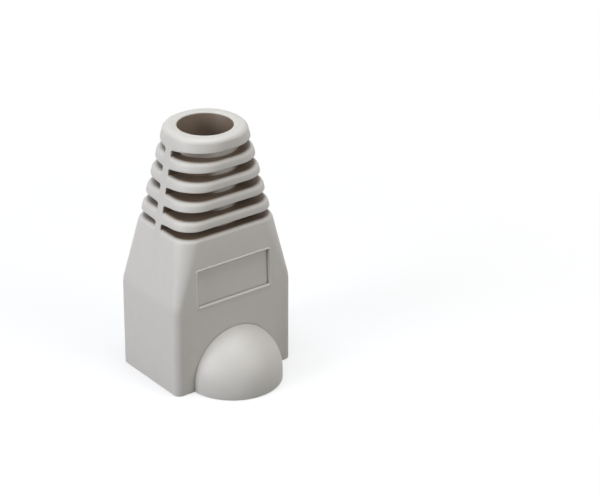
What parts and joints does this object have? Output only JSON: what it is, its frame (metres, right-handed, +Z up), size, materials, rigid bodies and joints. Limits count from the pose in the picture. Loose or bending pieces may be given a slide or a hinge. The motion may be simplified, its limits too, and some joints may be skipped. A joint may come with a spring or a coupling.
{
  "type": "rj45 strain relief boot",
  "caption": "One-piece soft PVC boot for a modular network plug: plug cavity, domed latch cover, tapered housing and ribbed flexible tail round the cable.",
  "frame": {"origin": "middle of the plug cavity on the mouth's rim plane, which the boot stands on", "axes": "+Z runs up the cable's axis from the mouth to the cable end, -Y is the side of the latch dome, X runs across the plug"},
  "size_m": [0.0138, 0.0143, 0.0259],
  "materials": {
    "soft_pvc": "satin moulded light grey"
  },
  "bodies": {
    "root": {"boot": "soft_pvc"}
  },
  "joints": []
}
